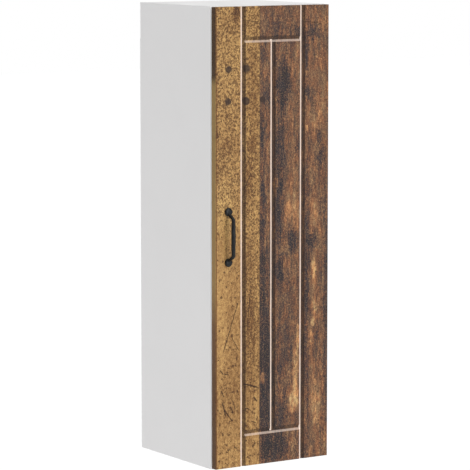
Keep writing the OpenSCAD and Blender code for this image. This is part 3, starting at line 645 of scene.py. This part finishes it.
def dark_wood(tree, foil):
    """Weathered wood, streaked and flecked."""
    rust = cloud(tree, stretched(tree, foil.flat, (1, 1, 0.5)), 0.13, 8, 0.85, 0.4)
    tone = calc(tree, "MULTIPLY_ADD", foil.grain["Streak"], 0.8, 0.055)
    for pattern, share in ((foil.grain["Broad"], 0.9), (rust, 1.3), (foil.spark, 1.5),
                           (foil.grain["Fibre"], 0.4)):
        tone = calc(tree, "MULTIPLY_ADD", pattern, share, calc(tree, "SUBTRACT", tone, share / 2))
    tone = calc(tree, "ADD", tone, total_tone(tree, foil.warped, DARK_STAINS, foil.ragged))
    dark = ramp(tree, tone, DARK_RAMP)
    hue = cloud(tree, stretched(tree, foil.flat, (1, 1, 0.35)), 0.07, 5, 0.7, 0.3)
    redder = mix(tree, 1.0, dark, REDDER, "MULTIPLY")
    cooler = mix(tree, 1.0, dark, COOLER, "MULTIPLY")
    dark = mix(tree, fade(tree, hue, 0.40, 0.60), cooler, redder)
    holes = {"Vector": foil.torn, "Cell": 7.0, "Share": 0.40, "Size": 0.30}
    holes = use(tree, worm_group, holes)["Mask"]
    flecks = cloud(tree, stretched(tree, foil.torn, (1, 1, 0.5)), 0.28, 5, 0.8)
    flecks = fade(tree, flecks, 0.54, 0.64, 0.0, 0.6)
    flecks = calc(tree, "MAXIMUM", calc(tree, "MULTIPLY", holes, 0.7), flecks)
    return mix(tree, flecks, dark, FLECK_DARK)


print(len(DARK_RAMP), "dark tones")

# %% [markdown]
# ## The whole foil
# The boards meet at a seam. Over them lie a fine nap, the nails and scratches, the painted
# highlight and shade on the sides of the grooves and the door's left edge, each mixed in by its
# own mask. The back of the door isn't printed, so everything gives way to white there.

# %% Boards joined
SEAM_HALF = 1.4
NAP_DARK = linear(40, 28, 24)
NAP_PALE = linear(214, 172, 118)
SEAM_DARK = linear(50, 34, 26)
NAIL_GREY = linear(48, 36, 32)
SCRATCH_DARK = linear(46, 28, 18)


def joined_boards(tree, foil, gold, dark):
    """The boards side by side, with a nap, the seam, the nails and the scratches."""
    boards = mix(tree, calc(tree, "GREATER_THAN", foil.across, SEAM), gold, dark)
    nap = cloud(tree, stretched(tree, foil.flat, (1, 1, 0.8)), 0.42, 3, 0.9)
    boards = mix(tree, fade(tree, nap, 0.32, 0.50, 0.6, 0.0), boards, NAP_DARK)
    boards = mix(tree, fade(tree, nap, 0.52, 0.72, 0.0, 0.45), boards, NAP_PALE)
    seam = calc(tree, "ABSOLUTE", calc(tree, "SUBTRACT", foil.across, SEAM))
    seam = fade(tree, seam, SEAM_HALF, 0.3, 0.0, 0.55)
    nails = total_tone(tree, foil.rough, [(x, z, r, r, NAIL_TONE) for x, z, r in NAILS])
    scratches = all_scratches(tree, foil.rough)
    boards = mix(tree, seam, boards, SEAM_DARK)
    boards = mix(tree, calc(tree, "MINIMUM", nails, 0.88), boards, NAIL_GREY)
    return mix(tree, scratches, boards, SCRATCH_DARK)


print(f"seam {SEAM} mm from the door's left edge")

# %% Grooves and edges
# Tones along the left edge, for each share of a metre up the door
EDGE_RAMP = [(0.0, (70, 44, 28)), (0.30, (100, 66, 38)), (0.40, (152, 122, 74)),
             (0.83, (152, 126, 78)), (0.85, (52, 36, 26)), (1.0, (58, 40, 28))]
# Painted shade for the groove side away from the light, and a painted highlight for its lit side
GROOVE_PAINTED_SHADE = linear(34, 22, 16)
GROOVE_PAINTED_HIGHLIGHT = linear(232, 211, 196)
ARRIS_BROWN = linear(84, 50, 24)
# Millimetres from the door's left edge that its worn arris covers
ARRIS = (0.9, 3.2)


def painted_grooves_and_edges(tree, foil, boards):
    """The painted highlight and painted shade on the sides of the grooves, the left edge and its
    worn arris.
    """
    pale, painted_shade = groove_highlight_and_shade(tree, foil.across, foil.up)
    # The painted highlight is broken up along the grain; the painted shade goes on at 0.72
    highlight_break = fade(tree, foil.grain["Streak"], 0.25, 0.6, 0.6, 0.9)
    boards = mix(tree, calc(tree, "MULTIPLY", painted_shade, 0.72), boards, GROOVE_PAINTED_SHADE)
    boards = mix(tree, calc(tree, "MULTIPLY", pale, highlight_break), boards, GROOVE_PAINTED_HIGHLIGHT)
    edge = ramp(tree, calc(tree, "DIVIDE", foil.up, 1 / MM), EDGE_RAMP)
    on_edge = fade(tree, foil.across, 1.2, 0.4)
    on_arris = calc(tree, "MULTIPLY", band(tree, foil.across, *ARRIS), 0.8)
    boards = mix(tree, on_edge, boards, mix(tree, 0.15, edge, boards))
    return mix(tree, on_arris, boards, ARRIS_BROWN)


print(len(EDGE_RAMP), "tones along the edge")

# %% Foil
# The white skin on the back in millimetres, and the print's relief in metres
BACK_SKIN = 0.6
BACK_WHITE = linear(238, 238, 236)
FOIL_RELIEF = 0.00025


def old_wood():
    """The printed foil on the front and edges, and plain white on the back."""
    material, tree, shader, place = new_material(
        "old wood foil", Coat_Roughness=0.25, Coat_Weight=0.04, Specular_IOR_Level=0.17)
    foil = foil_patterns(tree, place)
    gold = gold_wood(tree, foil)
    marks = worm_marks(tree, foil)
    gold = mix(tree, marks, gold, WORM_BROWN)
    boards = joined_boards(tree, foil, gold, dark_wood(tree, foil))
    # Painted highlight and shade in the grooves, then the edge colours
    boards = painted_grooves_and_edges(tree, foil, boards)
    rear = calc(tree, "GREATER_THAN", foil.deep, door_size.y / MM - BACK_SKIN)
    face = mix(tree, rear, boards, BACK_WHITE)
    handled = use(tree, handling_group, {"Vector": place, "Size": 9.0, "Tooth": 1400.0})
    roughness = calc(tree, "MULTIPLY_ADD", handled["Smear"], 0.08, 0.36)
    roughness = calc(tree, "MULTIPLY_ADD", foil.grain["Fibre"], 0.16, roughness)
    relief = calc(tree, "MULTIPLY", foil.grain["Streak"], 0.3)
    relief = calc(tree, "MULTIPLY_ADD", foil.grain["Fibre"], 0.30, relief)
    relief = calc(tree, "SUBTRACT", relief, calc(tree, "MULTIPLY", marks, 0.5))
    relief = calc(tree, "MULTIPLY", relief, calc(tree, "SUBTRACT", 1.0, rear))
    feed(tree, shader, Base_Color=face, Roughness=roughness)
    bump(tree, shader, relief, FOIL_RELIEF, 0.6)
    return material


old_wood_finish = old_wood()
print("foil nodes:", len(old_wood_finish.node_tree.nodes))

# %% [markdown]
# ## White board
# Melamine is printed paper pressed hard onto chipboard. It has a faint pearl texture, and
# each front edge is covered by a band about a millimetre thick, with a hairline joint.

# %% Board, back and plastic
# The band's thickness and its joint in millimetres, and how much a smear darkens each finish
BAND = 1.0
JOINT = 0.12
JOINT_TINT = linear(170, 168, 162)
BOARD_SMEAR = 0.996
PLASTIC_SMEAR = 0.94


def white_board(name, tint, tooth, roughness_low, roughness_span):
    """White melamine with a band along the front edges."""
    material, tree, shader, place = new_material(name, Specular_IOR_Level=0.14)
    handled = use(tree, handling_group, {"Vector": place, "Size": 7.0, "Tooth": tooth})
    y_mm = calc(tree, "DIVIDE", add(tree, "SeparateXYZ", {0: place}).outputs["Y"], MM)
    from_front = calc(tree, "SUBTRACT", y_mm, carcass_low.y / MM)
    joint = calc(tree, "ABSOLUTE", calc(tree, "SUBTRACT", from_front, BAND))
    joint = fade(tree, joint, JOINT, JOINT / 3)
    shade = [part * BOARD_SMEAR for part in tint]
    colour = mix(tree, handled["Smear"], linear(*tint), linear(*shade))
    colour = mix(tree, calc(tree, "MULTIPLY", joint, 0.35), colour, JOINT_TINT)
    roughness = calc(tree, "MULTIPLY_ADD", handled["Smear"], roughness_span, roughness_low)
    feed(tree, shader, Base_Color=colour, Roughness=roughness)
    bump(tree, shader, handled["Tooth"], 0.00004, 0.5)
    return material


def moulded(name, tint, roughness_low, **plain):
    """Moulded plastic with a fine spark-eroded tooth."""
    material, tree, shader, place = new_material(name, **plain)
    handled = use(tree, handling_group, {"Vector": place, "Size": 60.0, "Tooth": 2600.0})
    shade = [part * PLASTIC_SMEAR for part in tint]
    feed(tree, shader, Base_Color=mix(tree, handled["Smear"], linear(*tint), linear(*shade)),
         Roughness=calc(tree, "MULTIPLY_ADD", handled["Tooth"], 0.2, roughness_low))
    bump(tree, shader, handled["Tooth"], 0.00006, 0.5)
    return material


board_finish = white_board("white melamine", (239, 238, 238), 1500.0, 0.34, 0.10)
back_finish = white_board("white lacquered back", (238, 239, 238), 700.0, 0.42, 0.12)
cover_finish = moulded("white plastic", (236, 236, 234), 0.38)
buffer_finish = moulded("clear buffer", (226, 228, 226), 0.16, Transmission_Weight=0.55,
                        IOR=1.45)
print("white finishes ready")

# %% [markdown]
# ## Metals, beech and the black casting
# The hinges are nickel plated, so they mirror softly. Zinc on the plates and screws is
# duller and cloudier, and the yellow screws drift between straw and rose. The handle is a
# rough black casting, worn a little paler where hands and cloths reach.


# %% Metals and beech
def plated(name, light, dark, roughness_low, roughness_span, size, brushed):
    """Plated steel. brushed stretches its fine marks along Z."""
    material, tree, shader, place = new_material(name, Metallic=1.0)
    handled = use(tree, handling_group, {"Vector": place, "Size": size, "Tooth": 3000.0})
    marks = cloud(tree, stretched(tree, place, (1, 1, brushed)), 2200.0, 3, 0.6)
    feed(tree, shader, Base_Color=mix(tree, handled["Smear"], linear(*light), linear(*dark)),
         Roughness=calc(tree, "MULTIPLY_ADD", marks, roughness_span, roughness_low))
    bump(tree, shader, marks, 0.00002, 0.6)
    return material


def beech():
    """Raw beech with short dark flecks."""
    material, tree, shader, place = new_material("beech")
    flat = stretched(tree, place, (1 / MM,) * 3, (0, math.pi / 2, 0))
    grain = use(tree, grain_group, {"Vector": flat, "Coarse": 0.8, "Fine": 3.0})
    fleck = fade(tree, grain["Fibre"], 0.60, 0.72, 0.0, 0.6)
    wood = ramp(tree, grain["Streak"], [(0.3, (176, 134, 96)), (0.7, (206, 166, 126))])
    feed(tree, shader, Base_Color=mix(tree, fleck, wood, linear(134, 92, 62)),
         Roughness=calc(tree, "MULTIPLY_ADD", grain["Fibre"], 0.2, 0.5))
    bump(tree, shader, grain["Fibre"], 0.0001, 0.6)
    return material


def black_casting():
    """Cast iron under thin black lacquer: lumpy, satin, paler where it is handled."""
    material, tree, shader, place = new_material(
        "black casting", Coat_Roughness=0.3, Coat_Weight=0.06, Specular_IOR_Level=0.22)
    handled = use(tree, handling_group, {"Vector": place, "Size": 55.0, "Tooth": 1500.0})
    lumps = cloud(tree, place, 260.0, 3, 0.55)
    tint = mix(tree, handled["Smear"], linear(9, 10, 11), linear(20, 22, 24))
    feed(tree, shader, Base_Color=tint,
         Roughness=calc(tree, "MULTIPLY_ADD", handled["Smear"], 0.18, 0.34))
    relief = calc(tree, "MULTIPLY_ADD", handled["Tooth"], 0.25, lumps)
    bump(tree, shader, relief, 0.0004, 0.7)
    return material


nickel_finish = plated("nickel plate", (206, 203, 196), (186, 183, 176), 0.16, 0.16, 40.0, 0.2)
steel_finish = plated("bright steel", (200, 200, 200), (174, 175, 178), 0.24, 0.2, 60.0, 1.0)
zinc_finish = plated("zinc plate", (196, 199, 204), (160, 164, 172), 0.34, 0.22, 90.0, 1.0)
yellow_finish = plated("yellow passivated zinc", (214, 186, 120), (198, 156, 128), 0.26, 0.18,
                       160.0, 1.0)
beech_finish = beech()
casting_finish = black_casting()
print("metals, beech and casting ready")

# %% [markdown]
# ## Dressing the frame
# The record says which finish each part takes, so one table of finishes dresses the whole
# frame. The meshes stay as they are.

# %% Finishes on the frame's parts
FINISHES = {
    "white_board": board_finish, "white_back": back_finish, "old_wood_front": old_wood_finish,
    "black_casting": casting_finish, "white_plastic": cover_finish, "beech": beech_finish,
    "clear_buffer": buffer_finish, "zinc": zinc_finish, "steel": steel_finish,
    "yellow_zinc_screw": yellow_finish, "nickel": nickel_finish,
}


def dress(piece, finish):
    """Gives a piece one finish in all its slots."""
    if not piece.material_slots:
        piece.data.materials.append(finish)
    for slot in piece.material_slots:
        slot.material = finish


for part in frame["record"]["subparts"]:
    dress(nodes[part["node"]], FINISHES[part["material_slot"]])


# %% Floor finish
def floor_paint():
    """Pale matt paint with faint smears."""
    material, tree, shader, place = new_material(
        "pale floor", Emission_Color=WHITE, Emission_Strength=0.05)
    handled = use(tree, handling_group, {"Vector": place, "Size": 2.0, "Tooth": 300.0})
    tint = mix(tree, handled["Smear"], linear(251, 251, 251), linear(249, 249, 249))
    feed(tree, shader, Base_Color=tint,
         Roughness=calc(tree, "MULTIPLY_ADD", handled["Smear"], 0.05, 0.85))
    return material


dress(floor, floor_paint())
print("floor painted")

# %% [markdown]
# ## The handle
# The handle is one rough casting: two domed buttons and a bow between them. It could be a
# bent tube with two discs, but then the joins would be hard lines, which a casting never
# has. So the buttons are spun, the bow is drawn out ring by ring along its curve, and the
# three are melted into one skin.

# %% Handle sizes
handle_low, handle_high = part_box("handle")
handle_middle = (handle_low + handle_high) / 2
BUTTON_R = (handle_high.x - handle_low.x) / 2
HALF_PITCH = (handle_high.z - handle_low.z) / 2 - BUTTON_R
# The bow's middle line ends half the grip's depth short of the handle's outermost point
GRIP_HALF_DEPTH = 4.9 * MM
REACH = handle_high.y - handle_low.y - GRIP_HALF_DEPTH
print(f"buttons {2 * BUTTON_R / MM:.0f} mm wide, {2 * HALF_PITCH / MM:.0f} mm apart, "
      f"reach {REACH / MM:.0f} mm")

# %% Buttons
BUTTON_T = 6 * MM
RIM_T = 1.6 * MM


def spin_profile(bm, points, place):
    """Turns a profile of (radius, out) points full circle about an axis along -Y."""
    made = [bm.verts.new((radius, -out, 0)) for radius, out in points]
    edges = [bm.edges.new(pair) for pair in zip(made, made[1:])]
    before = set(bm.verts) - set(made)
    bmesh.ops.spin(bm, geom=made + edges, cent=(0, 0, 0), axis=(0, 1, 0),
                   steps=40, angle=math.tau, use_merge=True)
    fresh = [v for v in bm.verts if v not in before]
    bmesh.ops.remove_doubles(bm, verts=fresh, dist=1e-7)
    fresh = [v for v in bm.verts if v not in before]
    bmesh.ops.translate(bm, verts=fresh, vec=place)


def button_profile():
    """A domed disc with a soft rim, from the crown to the flat back."""
    rim = [(0, BUTTON_T)]
    for step in range(1, 10):
        turn = step / 9 * math.pi / 2
        out = RIM_T + (BUTTON_T - RIM_T) * math.cos(turn) ** 0.75
        rim.append((BUTTON_R * math.sin(turn) ** 0.8, out))
    return rim + [(BUTTON_R * 0.97, 0), (0, 0)]


print(len(button_profile()), "points on a button's profile")

# %% [markdown]
# ### The bow
# The bow is thickest where the fingers hold it, thins towards its necks, and flares a little
# where it runs into the buttons. A ring of vertices is extruded again and again, and each time
# laid square to the curve at its own width.

# %% Bow
# Half widths of the grip in its middle and at its ends, and its depth for a width of 1
GRIP_R = 5.2 * MM
GRIP_END_R = 3.7 * MM
GRIP_FLAT = 0.94
# The necks: how long, how deep they sink in the buttons, and how far short of their middles
NECK_RUN = 16.5 * MM
NECK_SINK = 4 * MM
NECK_SHORT = 2.5 * MM
NECK_FLARE = 0.9 * MM
FLARE_FROM = 0.86
BOW_RINGS = 90


def bow_place(t):
    """Middle of the bow at t from -1 to 1: height from the handle's middle, and reach."""
    height = t * (HALF_PITCH - NECK_SHORT)
    into_neck = (abs(height) - (HALF_PITCH - NECK_RUN)) / (NECK_RUN - NECK_SHORT)
    s = min(max(into_neck, 0), 1)
    drop = s * s * (3 - 2 * s)
    return height, REACH + (NECK_SINK - REACH) * drop


def bow_radius(t):
    """Thick in the middle, thinner where the necks leave."""
    t = abs(t)
    swell = math.cos(min(t / 0.9, 1) * math.pi / 2) ** 0.7
    flare = NECK_FLARE * max(t - FLARE_FROM, 0) / (1 - FLARE_FROM)
    return GRIP_END_R + (GRIP_R - GRIP_END_R) * swell + flare


def draw_bow(bm):
    """Draws the bow out ring by ring."""
    ring = bmesh.ops.create_circle(bm, cap_ends=True, segments=24, radius=1)["verts"]
    face = next(f for f in bm.faces if set(f.verts) == set(ring))
    for number in range(BOW_RINGS + 1):
        t = -1 + 2 * number / BOW_RINGS
        height, out = bow_place(t)
        ahead, behind = bow_place(min(t + 0.01, 1)), bow_place(max(t - 0.01, -1))
        lean = math.atan2(ahead[1] - behind[1], ahead[0] - behind[0])
        if number:
            grown = bmesh.ops.extrude_face_region(bm, geom=[face])["geom"]
            ring = [g for g in grown if isinstance(g, bmesh.types.BMVert)]
            if number > 1:
                bmesh.ops.delete(bm, geom=[face], context="FACES_ONLY")
            face = next(g for g in grown if isinstance(g, bmesh.types.BMFace))
            bmesh.ops.transform(bm, matrix=laid.inverted(), verts=ring)
        r = bow_radius(t)
        laid = (Matrix.Translation((handle_middle.x, door_low.y - out, handle_middle.z + height))
                @ Matrix.Rotation(lean, 4, "X") @ Matrix.Diagonal((r, r * GRIP_FLAT, 1, 1)))
        bmesh.ops.transform(bm, matrix=laid, verts=ring)


print(f"bow {2 * bow_radius(0) / MM:.1f} mm thick in the middle, "
      f"{2 * bow_radius(FLARE_FROM) / MM:.1f} mm at the necks")

# %% [markdown]
# ### One skin
# A voxel remesh melts the three shells into one closed skin, smoothing rounds the creases as
# sand and lacquer do, and a slow noise dents it. The back stays flat where it meets the door.

# %% Casting
# The size of the skin's grid, and how it is softened and dented
SKIN_GRID = 0.55 * MM
SOFTENINGS = 6
DENTS_PER_METRE = 160
DENT_DEPTH = 0.5 * MM
# Noise above this swells the skin, and below it dents it
DENT_LEVEL = 0.35
# How near the door the skin is left flat
SEAT = 0.4 * MM


def finish_mesh(bm, name):
    """Turns a bmesh into an object in the scene, with its faces outwards."""
    bmesh.ops.remove_doubles(bm, verts=bm.verts, dist=1e-6)
    bmesh.ops.recalc_face_normals(bm, faces=bm.faces)
    mesh = bpy.data.meshes.new(name)
    bm.to_mesh(mesh)
    bm.free()
    piece = bpy.data.objects.new(name, mesh)
    scene.collection.objects.link(piece)
    return piece


def melt(piece):
    """Melts overlapping shells into one skin."""
    remesh = piece.modifiers.new("melt", "REMESH")
    remesh.mode = "VOXEL"
    remesh.voxel_size = SKIN_GRID
    remesh.use_smooth_shade = True
    bpy.context.view_layer.update()
    shaped = piece.evaluated_get(bpy.context.evaluated_depsgraph_get())
    skin = bpy.data.meshes.new_from_object(shaped)
    piece.modifiers.clear()
    piece.data = skin


def dent(piece):
    """Softens the skin, then presses shallow dents into it, but not where it sits on the door."""
    bm = bmesh.new()
    bm.from_mesh(piece.data)
    for _ in range(SOFTENINGS):
        bmesh.ops.smooth_vert(bm, verts=bm.verts, factor=0.5,
                              use_axis_x=True, use_axis_y=True, use_axis_z=True)
    bm.normal_update()
    for v in bm.verts:
        on_door = v.co.y > door_low.y - SEAT
        pattern = noise.noise(v.co * DENTS_PER_METRE) - DENT_LEVEL
        v.co += v.normal * (0 if on_door else DENT_DEPTH * pattern)
        v.co.y = min(v.co.y, door_low.y)
    for face in bm.faces:
        face.smooth = True
    bm.to_mesh(piece.data)
    bm.free()


handle_bm = bmesh.new()
for side in (-1, 1):
    button_middle = (handle_middle.x, door_low.y, handle_middle.z + side * HALF_PITCH)
    spin_profile(handle_bm, button_profile(), button_middle)
draw_bow(handle_bm)
bow = finish_mesh(handle_bm, "handle_casting")
melt(bow)
dent(bow)
bow.data.materials.clear()
dress(bow, casting_finish)
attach(bow, "door")
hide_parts("handle")
print("handle:", len(bow.data.polygons), "faces")
